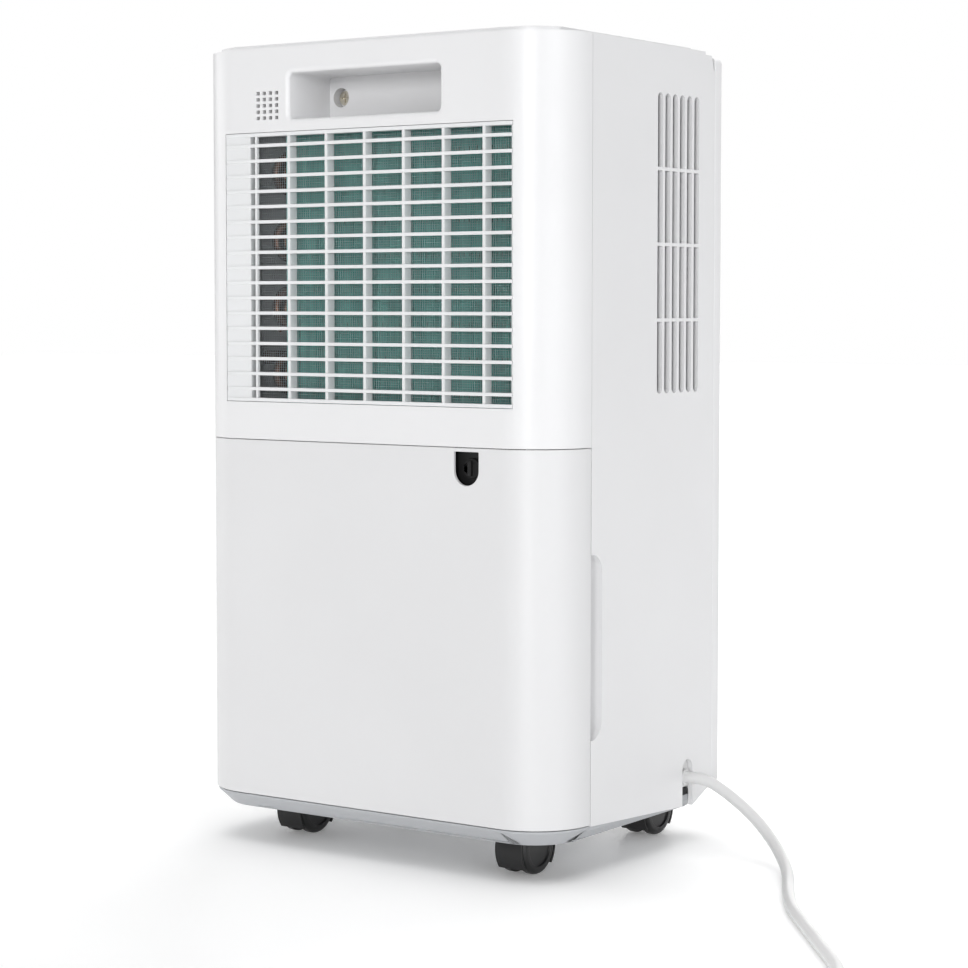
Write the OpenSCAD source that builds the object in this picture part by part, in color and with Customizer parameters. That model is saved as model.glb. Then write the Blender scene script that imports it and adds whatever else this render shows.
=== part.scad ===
/* [Cabinet] */
// Overall width across the side walls
body_w = 274; // [266:2:290]
// Overall depth from the front panel to the rear face
body_d = 190; // [188:1:196]
// Height of the top plate above the floor
total_h = 495; // [492:1:505]
// Radius of the two rear vertical corners
corner_r = 38; // [34:1:42]
// Thickness of the moulded walls
wall = 3; // [2.4:0.2:3.4]

/* [Tank] */
// Height of the seam between the tank and the rear cover
seam_z = 253; // [250:1:256]
// Height of the tank's lower edge above the floor
skirt_z = 31; // [31:0.5:32]
// Wall thickness of the tank
tank_wall = 2.5; // [2:0.1:2.8]
// Radius of the round end of the hose window
window_r = 8.85; // [8.6:0.05:9.2]

/* [Air inlet] */
// Number of grille slats
slat_count = 17; // [13:1:17]
// Spacing of the grille slats
slat_pitch = 9.31; // [9:0.01:9.34]
// Thickness of one slat
slat_t = 2; // [1.4:0.1:2.4]
// Number of upright bars behind the slats
bar_count = 7; // [5:1:7]
// Spacing of the upright bars
bar_pitch = 29; // [27:0.5:29]

/* [Air outlet] */
// Number of slots in each side
vent_count = 6; // [4:1:6]
// Spacing of the slots
vent_pitch = 8.66; // [8.4:0.02:8.8]
// Width of one slot
vent_w = 6; // [5:0.5:6.5]

/* [Fan] */
// Outer radius of the fan wheel
fan_r = 82; // [74:1:84]
// Number of blades
blade_count = 11; // [7:2:13]

/* [Controls] */
// Radius of a button cap
button_r = 5.9; // [5:0.1:6]
// Spacing of the buttons
button_pitch = 26; // [18:1:28]

/* [Casters] */
// Radius of a caster wheel
wheel_r = 16; // [15:0.5:16]
// Distance from the swivel axis to the wheel axle
trail = 9; // [8:0.5:9]
// Radius of the swivel stem
stem_r = 3.5; // [3:0.1:3.8]

/* [Mains lead] */
// Diameter of the lead
cord_d = 7; // [6:0.5:7]

/* [Hidden] */
$fn = 48;

half_w = body_w / 2;
half_d = body_d / 2;
gap = 0.4;                       // joint line between two mouldings
eps = 0.1;                       // overrun of a cut
cover_top = total_h - 2.5;       // outer edge of the cabinet's top
lip_t = 2.5;                     // thickness of the rim around the top plate
side_seam_y = 55;                // seam between the front housing and the tank
front_seam_y = -87;              // seam between the front housing and the front panel
side_lip = 9;                    // width of the rim at the sides
rear_lip = 5;                    // width of the rim at the rear
plate_front_y = -73;             // front end of the top plate
floor_z = 24;                    // floor of the base tray
panel_z0 = 33.2;                 // foot and head of the front panel
panel_z1 = 490;
base_z = 21;                     // underside of the base tray
tray_well_y = -73;               // front end of the base tray's flat floor
chassis_x = half_w - wall - 0.5; // half width of the inner chassis

// air inlet
inlet_right = -107.5;            // hinge edge of the filter panel
inlet_left = 107;                // grip edge of the filter panel
inlet_z0 = 276.5;
inlet_z1 = 441;
grip_margin = 19.5;              // plain margin beside the openings
slat_top_z = 433.3;
slat_depth = 2.6;
bar_t = 2;
bar_front_y = 94.2;              // bars end just behind the faces of the slats
bar_first_x = -87.8;
edge_bar_x = 83;                 // slim bar beside the grip margin
edge_bar_d = 2.2;
bar_back_y = 87.5;
rail_h = 2.2;

// handle recess
handle_w = 113.5;
handle_z0 = 448.7;
handle_z1 = 476.5;
handle_back_y = 54;
handle_corner_r = 3;
mouth_r = 2.6;                   // rounding of the handle pocket's rim
screw_x = 48;
screw_z = 463.8;

// heat exchangers
coil_x0 = -104;
coil_x1 = 66;
coil_z0 = 270;
coil_z1 = 440;
fin_pitch = 3.4;
tube_r = 3.5;
tube_rows = 8;
row_pitch = 20.6;
row_inset = 6;                   // tube centres in from the faces of the fins
stub = 3;                        // straight end between end plate and bend

// fan
fan_z = 373;
shaft_r = 4;
fit = 0.05;                      // radial clearance of a running fit

// drip tray
spout_z = 240.6;
drip = [-76, 66];                // where the drip tray empties into the tank

// tank
tank_floor_z = 48;
vessel_top = 224;
vessel_x = 129;
vessel_front_y = 15;
window_x = -75.7;
window_z0 = 230.7;
window_z1 = 250.5;
outlet_back_y = 84.5;            // plate with the drain outlet, behind the window
outlet_plate = 26;
plug_r = 4.4;                    // stem of the drain plug
float_x = 100;
float_y = 24;
float_z = 205;
pin_r = 1.5;

// casters: place of each swivel axis and the way it trails
CASTERS = [[84, 55, 180], [-97, 55, 0], [84, -64.5, 180], [-97, -64.5, 180]];
pocket_r = 29.2;
pocket_top = 34.7;
pocket_front_y = -83.2;          // pockets are open in front of this depth
roof_t = 2.6;                    // roof of a caster pocket
wheel_t = 6;
wheel_gap = 9;                   // space between the two wheels of a caster
hood_w = 19;
hood_gap = 0.7;
hood_t = 1.5;
axle_r = 2;
boss_r = 4.1;                    // swivel boss and web between the wheels

// controls
button_y = -20;
button_top = total_h - 0.2;
board_z = 470;

// mains lead
cord_r = cord_d / 2;
cord_y = -57.5;
cord_z = 42.5;
slot_y = -57.1;
slot_r = 6.1;
slot_top = 53.9;
bush_plate_r = 8;
bush_plate_z0 = 36;              // foot of the plate behind the cord outlet
bush_face_x = -136;
coil_c = [-420, 262];
coil_in = 28;
coil_out = 49;
coil_h = 14.4;
turn_r = 45.5;                   // outermost turn of the coil
tail_x = coil_c.x - turn_r;
plug_back_y = 220;
plug_len = 34;
plug_w = 30;
plug_t = 14.4;
plug_z = 7.4;
pin_len = 19;
pin_gap = 18.6;                  // distance between the two pins
plug_pin_r = 2;
// route of the lead from the bush to the coil
CORD = [[-136, -57.5, 42.5], [-142, -57.5, 42.5], [-148, -57.5, 42.2], [-154, -57.2, 40.8],
        [-160.5, -56.5, 38.2], [-167, -55.3, 35.4], [-173, -53.8, 32.6], [-179, -52, 29.8],
        [-185, -49.9, 26.8], [-191, -47.6, 23.5], [-196.5, -44.9, 20.4], [-202, -41.5, 17.4],
        [-207.5, -37.4, 14.6], [-213, -32.6, 12], [-218.5, -27, 9.6], [-224, -20.6, 7.6],
        [-229.5, -13.4, 5.9], [-235, -5.2, 4.7], [-241, 5, 3.9], [-248, 18, 3.6],
        [-256, 32.8, 3.6], [-265, 48.2, 3.6],
        [-275, 64, 3.6], [-286, 79, 3.6], [-298, 94, 3.6], [-310, 109, 3.6], [-322, 124, 3.6],
        [-334, 139, 3.6], [-346, 154, 3.6], [-357, 170, 3.6], [-366, 187, 3.6],
        [-372, 205, 3.6], [-374.5, 223, 3.6], [-374.5, 241, 3.6]];
// end of the lead between the coil and the plug
TAIL = [[tail_x, 244, 9.8], [tail_x, 236, 8.8], [tail_x, 228, 7.8], [tail_x, plug_back_y, plug_z]];

// ---------- shared shapes ----------

// Cabinet outline seen from above, inset all round and cut between two depths
module plan(inset, front, back) {
  intersection() {
    union() {
      translate([-half_w + inset, -half_d])
        square([body_w - 2 * inset, body_d - corner_r]);
      translate([-half_w + corner_r, -half_d])
        square([body_w - 2 * corner_r, body_d - inset]);
      for (side = [-1, 1])
        translate([side * (half_w - corner_r), half_d - corner_r])
          circle(r = corner_r - inset, $fn = 96);
    }
    translate([-half_w, front]) square([body_w, back - front]);
  }
}

// Rectangle with four round corners
module round_rect(w, h, r) {
  square([w - 2 * r, h], center = true);
  square([w, h - 2 * r], center = true);
  for (x = [-1, 1], y = [-1, 1])
    translate([x * (w / 2 - r), y * (h / 2 - r)]) circle(r = r);
}

// Flat shape drawn in X and Z, standing from one depth to another
module stand(y0, y1) {
  translate([0, y1, 0]) rotate([90, 0, 0]) linear_extrude(y1 - y0) children();
}

// Flat shape drawn in Y and Z, reaching from one width to another
module across(x0, x1) {
  translate([x0, 0, 0]) rotate([90, 0, 90]) linear_extrude(x1 - x0) children();
}

// Round bar along Y
module bar_y(x, z, y0, y1, r) {
  translate([x, y0, z]) rotate([-90, 0, 0]) cylinder(h = y1 - y0, r = r);
}

// Round bar along X
module bar_x(y, z, x0, x1, r) {
  translate([x0, y, z]) rotate([0, 90, 0]) cylinder(h = x1 - x0, r = r);
}

// Box given by its two corners
module box(low, high) {
  translate(low) cube(high - low);
}

function unit(v) = v / norm(v);
function path_dir(p, i) = unit(p[min(i + 1, len(p) - 1)] - p[max(i - 1, 0)]);

// Round tube swept along a list of points that never runs along the direction ref
module tube(path, r, sides, ref) {
  rings = [for (i = [0 : len(path) - 1])
    let (d = path_dir(path, i), s = unit(cross(d, ref)), u = unit(cross(s, d)), v = cross(d, u))
      for (k = [0 : sides - 1])
        path[i] + r * (cos(360 * k / sides) * v + sin(360 * k / sides) * u)];
  ends = [[for (k = [sides - 1 : -1 : 0]) k],
          [for (k = [0 : sides - 1]) (len(path) - 1) * sides + k]];
  skin = [for (i = [0 : len(path) - 2], k = [0 : sides - 1], half = [0, 1])
    let (a = i * sides + k, b = i * sides + (k + 1) % sides)
      half == 0 ? [a, b + sides, a + sides] : [a, b, b + sides]];
  polyhedron(points = rings, faces = concat(ends, skin), convexity = 6);
}

// ---------- cabinet ----------

module base_shape() {
  hull() {
    translate([0, 0, skirt_z - 1.5]) linear_extrude(1.2) plan(1, -83.2, half_d);
    translate([0, 0, base_z]) linear_extrude(1) plan(10, -83.2, half_d);
  }
}

module base_tray() color("silver") {
  tower_top = tank_floor_z - 0.6;
  difference() {
    union() {
      difference() {
        base_shape();
        translate([0, 0, floor_z]) linear_extrude(20) plan(15, tray_well_y, 80);
      }
      for (c = CASTERS) {
        translate([c.x, c.y, base_z + 1])
          cylinder(h = pocket_top + roof_t - base_z - 1, r = pocket_r + 2);
        translate([c.x, c.y, base_z + 1]) cylinder(h = tower_top - base_z - 1, r = 7);
      }
      for (x = [-30, 0, 30])
        box([x - 1.5, 16, floor_z - 1], [x + 1.5, 80, tower_top]);
      for (p = COMPRESSOR_FEET)
        translate([p.x, p.y, base_z + 1]) cylinder(h = floor_z - base_z, r = 9);
    }
    for (c = CASTERS) {
      translate([c.x, c.y, base_z - eps]) cylinder(h = pocket_top - base_z + eps, r = pocket_r);
      translate([c.x, c.y, base_z]) cylinder(h = 40, r = stem_r + fit);
    }
    box([-half_w, -half_d - 10, base_z - 1], [half_w, pocket_front_y, 60]);
    // upturned front end, clear of the front panel
    across(-half_w, half_w)
      polygon([[-70, base_z - 1], [-96, base_z - 1], [-96, 31.5], [-80, 31.5]]);
    // room for the side walls of the front housing
    for (side = [-1, 1])
      translate([side * (half_w + 46.6), -20, 30])
        cube([100, 150, 40], center = true);
    for (p = COMPRESSOR_FEET)
      translate([p.x, p.y, base_z - eps]) cylinder(h = 30, r = 3);
    for (p = BASE_SCREWS)
      translate([p.x, p.y, base_z - eps]) cylinder(h = 30, r = 2);
  }
}

module underside_cut() {
  across(-half_w - 1, half_w + 1)
    polygon([[56, 0], [56, 30.5], [-50, 25], [-63, 24], [-78, 30.5], [-84, 33],
             [-84, 36], [-88, 36], [-88, 0]]);
}

module side_vents() {
  for (i = [0 : vent_count - 1])
    translate([-21 - i * vent_pitch, 0]) difference() {
      union() {
        translate([-vent_w / 2, 282.5 + vent_w / 2]) square([vent_w, 181.2 - vent_w]);
        for (z = [282.5 + vent_w / 2, 463.7 - vent_w / 2]) translate([0, z]) circle(r = vent_w / 2);
      }
      for (z = [327, 372.7, 418.1]) translate([-5, z - 1]) square([10, 2]);
    }
}

module grip_cut() {
  translate([43.1, 81 + 11]) square([30, 109.4 - 22]);
  translate([43.1 + 11, 81]) square([30, 109.4]);
  for (z = [92, 179.4]) translate([43.1 + 11, z]) circle(r = 11);
}

module front_housing() color("white") {
  difference() {
    union() {
      translate([0, 0, 24]) linear_extrude(cover_top - 24) difference() {
        plan(0, front_seam_y + gap, side_seam_y - gap / 2);
        plan(wall, front_seam_y + gap + wall, side_seam_y + 1);
      }
      translate([0, 0, cover_top - lip_t]) linear_extrude(lip_t) difference() {
        plan(0, front_seam_y + gap, side_seam_y - gap / 2);
        plan(side_lip, plate_front_y, side_seam_y + 1);
      }
    }
    underside_cut();
    across(-half_w - 1, half_w + 1) side_vents();
    across(-half_w - 1, half_w + 1) grip_cut();
    // cord outlet in the right side
    across(-half_w - 1, -half_w + 8) {
      translate([slot_y - slot_r, 0]) square([2 * slot_r, slot_top - slot_r]);
      translate([slot_y, slot_top - slot_r]) circle(r = slot_r);
    }
    // step and groove in front of the top plate
    across(-half_w - 1, half_w + 1)
      polygon([[-74, cover_top + 1], [-75, cover_top - 2], [-82.4, cover_top - 2],
               [-85, cover_top - 11.8], [-88, cover_top - 9], [-88, cover_top + 1]]);
  }
}

module front_panel() color("white") {
  // plate with round edges, open at the back behind a rim
  difference() {
    stand(-half_d, front_seam_y)
      translate([0, (panel_z0 + panel_z1) / 2]) round_rect(body_w, panel_z1 - panel_z0, 4);
    stand(-half_d + 3, front_seam_y + 1)
      translate([0, (panel_z0 + panel_z1) / 2]) round_rect(body_w - 8, panel_z1 - panel_z0 - 8, 2);
  }
  for (x = [-100, 0, 100], z = [80, 260, 440])
    bar_y(x, z, -half_d + 2, front_seam_y, 5);
}

module sensor_holes() {
  for (i = [0 : 3], j = [0 : 4])
    translate([65.8 + i * 4.87, 449.9 + j * 3.75]) square([2.7, 2.2], center = true);
}

// Rounded rim of the handle pocket, as a cut that widens towards the face
module handle_mouth() {
  steps = 6;
  for (i = [0 : steps - 1])
    hull() for (a = [90 * i / steps, 90 * (i + 1) / steps]) {
      depth = mouth_r * (1 - cos(a));
      grow = mouth_r * (1 - sin(a));
      stand(half_d - depth - 0.02, half_d - depth + (a == 0 ? eps : 0))
        translate([0, (handle_z0 + handle_z1) / 2])
          round_rect(handle_w + 2 * grow, handle_z1 - handle_z0 + 2 * grow,
                     handle_corner_r + grow, $fn = 48);
    }
}

module rear_cover() color("white") {
  z0 = seam_z + gap / 2;
  difference() {
    union() {
      translate([0, 0, z0]) linear_extrude(cover_top - z0) difference() {
        plan(0, side_seam_y + gap / 2, half_d);
        plan(wall, side_seam_y - 1, half_d - wall);
      }
      translate([0, 0, cover_top - lip_t]) linear_extrude(lip_t) difference() {
        plan(0, side_seam_y + gap / 2, half_d);
        intersection() {
          plan(rear_lip, side_seam_y - 1, half_d);
          translate([-half_w + side_lip, 0]) square([body_w - 2 * side_lip, half_d]);
        }
      }
      // handle pocket
      stand(handle_back_y - 2.5, half_d - 1)
        translate([0, (handle_z0 + handle_z1) / 2])
          round_rect(handle_w + 5, handle_z1 - handle_z0 + 5, 5);
      // frame around the air inlet
      stand(85, half_d - 3) difference() {
        translate([(inlet_right + inlet_left) / 2, (inlet_z0 + inlet_z1) / 2])
          square([inlet_left - inlet_right + 9, inlet_z1 - inlet_z0 + 6], center = true);
        translate([(inlet_right + inlet_left) / 2, (inlet_z0 + inlet_z1) / 2])
          square([inlet_left - inlet_right + 5, inlet_z1 - inlet_z0 + 2], center = true);
      }
      bar_y(screw_x, screw_z, handle_back_y - 10, handle_back_y, 8);
    }
    stand(handle_back_y, half_d + 1)
      translate([0, (handle_z0 + handle_z1) / 2])
        round_rect(handle_w, handle_z1 - handle_z0, handle_corner_r);
    handle_mouth();
    bar_y(screw_x, screw_z, handle_back_y - 7, handle_back_y + 1, 6);
    bar_y(screw_x, screw_z, handle_back_y - 12, handle_back_y, 2.1);
    stand(80, half_d + 1)
      translate([(inlet_right + inlet_left) / 2, (inlet_z0 + inlet_z1) / 2])
        square([inlet_left - inlet_right + 0.8, inlet_z1 - inlet_z0 + 0.6], center = true);
    stand(80, half_d + 1) sensor_holes();
  }
}

module button_places() {
  for (i = [-2 : 2]) translate([i * button_pitch, button_y]) children();
}

module top_cover() color("white") {
  z0 = total_h - 3.5;
  translate([0, 0, z0]) linear_extrude(3.5) difference() {
    intersection() {
      plan(rear_lip + 0.3, plate_front_y + 0.3, half_d);
      translate([-half_w + side_lip + 0.3, -half_d])
        square([body_w - 2 * side_lip - 0.6, body_d]);
    }
    translate([0, -48]) round_rect(64.4, 24.4, 4);
    button_places() circle(r = button_r + 0.3);
  }
}

module inner_chassis() color("lightgray") {
  // bulkhead between the tank bay and the machine bay
  box([-chassis_x, 10, 31.3], [chassis_x, 13, 262]);
  // deck that carries the fan chamber, with a port for the pipes
  difference() {
    box([-chassis_x, -83, 262], [chassis_x, 13, 264.5]);
    box([88, -50, 260], [124, 2, 266]);
    bar_y(0, 263, -84, -80, 3);
  }
}

// ---------- controls ----------

module display_window() color("black") {
  translate([0, -48, total_h - 2.6]) linear_extrude(2.4) round_rect(64, 24, 3.8);
}

module button(i) {
  translate([i * button_pitch, button_y, 0]) {
    translate([0, 0, 490]) cylinder(h = button_top - 490, r = button_r);
    translate([0, 0, 489.2]) cylinder(h = 2, r = button_r + 1.6);
    translate([0, 0, 477]) cylinder(h = 13, r = 2.5);
  }
}

module power_button() color("gainsboro") button(-2);
module mode_button() color("gainsboro") button(-1);
module fan_button() color("gainsboro") button(0);
module humidity_button() color("gainsboro") button(1);
module timer_button() color("gainsboro") button(2);

module control_board() color("darkgreen") {
  box([-66, -68, board_z], [66, -8, board_z + 1.6]);
  // a push switch under each button
  button_places() translate([-3, -3, board_z + 1.5]) cube([6, 6, 4.3]);
  // display module under the window
  box([-28, -58, board_z + 1.5], [28, -38, 491]);
  // relay and connectors
  box([-58, -62, board_z + 1.5], [-38, -46, board_z + 15]);
  box([40, -62, board_z + 1.5], [60, -52, board_z + 10]);
}

// ---------- air path ----------

module filter_frame() color("white") intersection() {
  filter_parts();
  translate([0, 0, inlet_z0 - 1]) linear_extrude(inlet_z1 - inlet_z0 + 2) plan(0, 0, half_d);
}

module filter_parts() {
  cz = (inlet_z0 + inlet_z1) / 2;
  open_left = inlet_left - grip_margin;
  difference() {
    union() {
      // top and bottom rails and the hinge edge
      for (z = [inlet_z0, inlet_z1 - rail_h])
        box([inlet_right, bar_back_y, z], [inlet_left, half_d, z + rail_h]);
      box([inlet_right, bar_back_y, inlet_z0], [inlet_right + 1.6, half_d - slat_depth, inlet_z1]);
      // grip margin, set back between the slat lines
      box([open_left, 90, inlet_z0], [inlet_left, half_d - 0.9, inlet_z1]);
      for (i = [0 : slat_count - 1])
        translate([inlet_right, half_d - slat_depth, slat_top_z - i * slat_pitch - slat_t / 2])
          cube([inlet_left - inlet_right, slat_depth, slat_t]);
      for (i = [0 : bar_count - 2])
        translate([bar_first_x + i * bar_pitch - bar_t / 2, bar_back_y, inlet_z0])
          cube([bar_t, bar_front_y - bar_back_y, inlet_z1 - inlet_z0]);
      box([edge_bar_x - 0.8, bar_front_y - edge_bar_d, inlet_z0],
          [edge_bar_x + 0.8, bar_front_y, inlet_z1]);
      // two hooks behind the edge of the rear cover
      for (z = [310, 405])
        box([inlet_right - 2.2, bar_back_y, z - 8], [inlet_right + 1, bar_back_y + 2.6, z + 8]);
    }
    // finger hollow behind the grip edge
    box([inlet_left - 3, 85, cz - 30], [inlet_left + 1, 91.5, cz + 30]);
  }
}

module filter_mesh() color("dimgray", 0.5) {
  box([inlet_right + 2, bar_back_y - 0.8, inlet_z0 + 2.4],
      [inlet_left - grip_margin, bar_back_y, inlet_z1 - 2.4]);
}

// Pack of fins with its pleats cut into both faces
module fin_pack(y0, y1) {
  difference() {
    box([coil_x0, y0, coil_z0], [coil_x1, y1, coil_z1]);
    for (x = [coil_x0 + fin_pitch / 2 : fin_pitch : coil_x1 - 1])
      box([x, y1 - 3, coil_z0 - 1], [x + 1.7, y1 + 1, coil_z1 + 1]);
  }
}

function tube_z(i) = coil_z0 + 13 + i * row_pitch;

// Return bend that starts and ends inside an end plate and bulges to one side
function bend_path(x, y, z, side) = concat(
  [[x, y, z - row_pitch / 2]],
  [for (a = [-90 : 22.5 : 90])
    [x + side * (2 + stub + row_pitch / 2 * cos(a)), y, z + row_pitch / 2 * sin(a)]],
  [[x, y, z + row_pitch / 2]]);

// End plates and return bends of a coil with two columns of tubes
module coil_tubes(y0, y1) {
  for (x = [coil_x0 - 2, coil_x1]) box([x, y0 - 1, coil_z0], [x + 2, y1 + 1, coil_z1]);
  for (y = [y0 + row_inset, y1 - row_inset]) {
    for (i = [0 : 2 : tube_rows - 2])
      tube(bend_path(coil_x1 + 1, y, tube_z(i + 0.5), 1), tube_r, 8, [0, 1, 0]);
    for (i = [1 : 2 : tube_rows - 3])
      tube(bend_path(coil_x0 - 1, y, tube_z(i + 0.5), -1), tube_r, 8, [0, 1, 0]);
    for (z = [tube_z(0), tube_z(tube_rows - 1)])
      bar_x(y, z, coil_x0 - 8, coil_x0 - 1, tube_r);
  }
}

module evaporator_fins() color("cadetblue") fin_pack(62, 82);
module evaporator_tubes() color("peru") coil_tubes(62, 82);
module condenser_fins() color("silver") fin_pack(34, 54);
module condenser_tubes() color("peru") coil_tubes(34, 54);

module fan_orifice() color("lightgray") {
  difference() {
    union() {
      box([-132, 14, 265], [86, 17, 486]);
      bar_y(0, fan_z, -2, 17, 62);
    }
    bar_y(0, fan_z, -3, 18, 59);
  }
}

module fan_wheel() color("whitesmoke") {
  difference() {
    union() {
      bar_y(0, fan_z, -50, -48, fan_r);
      bar_y(0, fan_z, -50, -30, 13);
      for (i = [0 : blade_count - 1])
        translate([0, 0, fan_z]) rotate([0, i * 360 / blade_count, 0])
          translate([fan_r - 21, 0, 14]) rotate([0, 32, 0])
            box([-20, -48.5, -1.2], [20, -9.5, 1.2]);
      difference() {
        bar_y(0, fan_z, -10, -8, fan_r);
        bar_y(0, fan_z, -11, -7, 64);
      }
    }
    bar_y(0, fan_z, -60, -20, shaft_r);
    difference() {
      bar_y(0, fan_z, -60, 5, fan_r + 20);
      bar_y(0, fan_z, -61, 6, fan_r);
    }
  }
}

module fan_shaft() color("lightsteelblue") bar_y(0, fan_z, -72, -31, shaft_r);

module fan_motor() color("gray") {
  difference() {
    union() {
      bar_y(0, fan_z, -79, -60, 42);
      bar_y(0, fan_z, -62, -55, 14);
    }
    bar_y(0, fan_z, -73, -50, shaft_r + fit);
  }
}

module motor_bracket() color("lightsteelblue") {
  difference() {
    union() {
      box([-70, -83.4, fan_z - 10], [70, -79, fan_z + 10]);
      box([-10, -83.4, fan_z - 60], [10, -79, fan_z + 60]);
    }
    for (a = [0 : 90 : 270])
      translate([0, 0, fan_z]) rotate([0, a, 0])
        translate([50, -84, 0]) rotate([-90, 0, 0]) cylinder(h = 6, r = 2.2);
  }
}

// ---------- refrigeration circuit ----------

comp = [0, -37];
acc_x = comp.x - 63;
COMPRESSOR_FEET = [[comp.x - 52, comp.y], [comp.x + 42.4, comp.y - 26.6], [comp.x + 42.4, comp.y + 26.6]];
BASE_SCREWS = [[-50, 72], [50, 72], [-50, -57], [0, 72], [0, -20], [-50, -10]];

module compressor() color("dimgray") {
  difference() {
    union() {
      translate([comp.x, comp.y, 0]) rotate_extrude($fn = 64) {
        translate([0, 38]) square([42, 160]);
        intersection() {
          translate([0, 198]) scale([3, 1]) circle(r = 14);
          translate([0, 198]) square([42, 20]);
        }
      }
      hull() for (p = COMPRESSOR_FEET) translate([p.x, p.y, 33]) cylinder(h = 3, r = 10, $fn = 32);
      translate([comp.x, comp.y, 35]) cylinder(h = 5, r = 36);
    }
    for (p = COMPRESSOR_FEET) translate([p.x, p.y, 30]) cylinder(h = 10, r = 6);
  }
}

module compressor_feet() color("black") {
  for (p = COMPRESSOR_FEET) translate([p.x, p.y, 0]) difference() {
    union() {
      translate([0, 0, 25.1]) cylinder(h = 7.9, r = 9);
      translate([0, 0, 33]) cylinder(h = 3, r = 6);
      translate([0, 0, 36]) cylinder(h = 4, r = 8);
    }
    translate([0, 0, 20]) cylinder(h = 30, r = 3);
  }
}

module compressor_bolts() color("silver") {
  for (p = COMPRESSOR_FEET) translate([p.x, p.y, 0]) {
    translate([0, 0, 22]) cylinder(h = 24, r = 3);
    translate([0, 0, 40]) cylinder(h = 1.2, r = 8);
    translate([0, 0, 41.2]) cylinder(h = 5, r = 5.8, $fn = 6);
  }
}

module terminal_cover() color("black") {
  translate([comp.x + 20, comp.y, 208]) cylinder(h = 14, r = 13);
}

module accumulator() color("dimgray") {
  translate([acc_x, comp.y, 0]) rotate_extrude() {
    translate([0, 70]) square([17, 90]);
    intersection() {
      union() {
        translate([0, 160]) circle(r = 17);
        translate([0, 70]) circle(r = 17);
      }
      translate([0, 50]) square([17, 130]);
    }
  }
  box([acc_x + 13, comp.y - 5, 110], [comp.x - 41, comp.y + 5, 114]);
}

SUCTION = [[-63, -37, 175], [-63, -37, 200], [-62, -36, 222], [-55, -32, 238], [-37, -28, 245],
           [20, -26, 247], [80, -24, 248], [98, -22, 254], [104, -18, 268], [104, -8, 290],
           [104, 8, 300], [104, 40, 302], [103, 56, 303], [98, 65, 303], [86, 68, 303]];
DISCHARGE = [[-8, -46, 205], [-8, -46, 222], [-2, -45, 233], [30, -43, 238], [90, -39, 241],
             [112, -34, 250], [116, -26, 268], [116, -8, 300], [116, 12, 325], [112, 32, 334],
             [103, 39, 337], [94, 40, 337], [86, 40, 337]];
CAPILLARY = concat([[84, 46, 400], [96, 44, 396], [107, 36, 389], [112, 27, 378]],
                   [for (a = [0 : 30 : 1080]) [100 + 12 * cos(a), 24 - a / 90, 365 - 12 * sin(a)]],
                   [[112, 12, 352], [111, 15, 340], [107, 28, 328], [99, 54, 321], [86, 68, 320]]);

module refrigerant_pipes() color("peru") {
  tube(SUCTION, 4.75, 10, [1, -1, 1]);
  tube(DISCHARGE, 3.2, 10, [1, -1, 1]);
}

module capillary_tube() color("peru") tube(CAPILLARY, 1.2, 8, [0, 1, 0]);

module capacitor() color("gainsboro") {
  translate([-100, -14, 48]) cylinder(h = 62, r = 17);
  translate([-100, -14, 110]) cylinder(h = 8, r = 6);
  // strap to the bulkhead
  box([-110, 2, 70], [-90, 10, 84]);
}

// ---------- water path ----------

module drip_tray() color("dimgray") {
  difference() {
    union() {
      box([-108, 20, 256], [108, 86, 268]);
      box([-92, 56, 233], [-60, 84, 258]);
      // plate with the outlet, behind the window of the tank
      stand(outlet_back_y, outlet_back_y + 2.5)
        translate([window_x, (window_z0 + window_z1) / 2])
          round_rect(outlet_plate, outlet_plate, 6);
      translate([drip.x, drip.y, 229]) cylinder(h = 5, r = 4.5);
    }
    box([-106, 22, 258], [106, 84, 270]);
    box([-90, 58, 235], [-62, 82, 260]);
    bar_y(window_x, spout_z, 79, 88, plug_r + 0.1);
    translate([drip.x, drip.y, 228]) cylinder(h = 10, r = 3);
  }
}

module drain_plug() color("black") {
  head_y = outlet_back_y + 2.8;
  bar_y(window_x, spout_z, 81, 88, plug_r);
  bar_y(window_x, spout_z, head_y, head_y + 2.1, plug_r + 1.5);
  // pull tab
  box([window_x - 1.2, head_y + 1.7, spout_z - plug_r],
      [window_x + 1.2, head_y + 4.6, spout_z + plug_r]);
}

module tank_plan(inset) {
  plan(inset, side_seam_y + gap / 2 + inset, half_d);
  translate([-vessel_x + inset, vessel_front_y + inset])
    square([2 * (vessel_x - inset), side_seam_y + 8 - vessel_front_y - inset]);
}

module tank() color("white") {
  difference() {
    union() {
      translate([0, 0, tank_floor_z]) linear_extrude(vessel_top - tank_floor_z) difference() {
        tank_plan(0);
        tank_plan(tank_wall);
      }
      translate([0, 0, tank_floor_z]) linear_extrude(tank_wall) tank_plan(0);
      translate([0, 0, skirt_z + 0.3]) linear_extrude(seam_z - gap / 2 - skirt_z - 0.3) difference() {
        plan(0, side_seam_y + gap / 2, half_d);
        plan(tank_wall, side_seam_y - 1, half_d);
      }
      // ears that hold the float's pin
      for (x = [float_x - 14, float_x + 11])
        box([x, vessel_front_y + 1, float_z - 7], [x + 3, float_y + 6, float_z + 6]);
    }
    bar_x(float_y, float_z, float_x - 20, float_x + 20, pin_r);
    stand(80, half_d + 1) {
      translate([window_x, window_z0 + window_r]) circle(r = window_r);
      translate([window_x - window_r, window_z0 + window_r])
        square([2 * window_r, window_z1 - window_z0 - window_r]);
    }
  }
}

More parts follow.
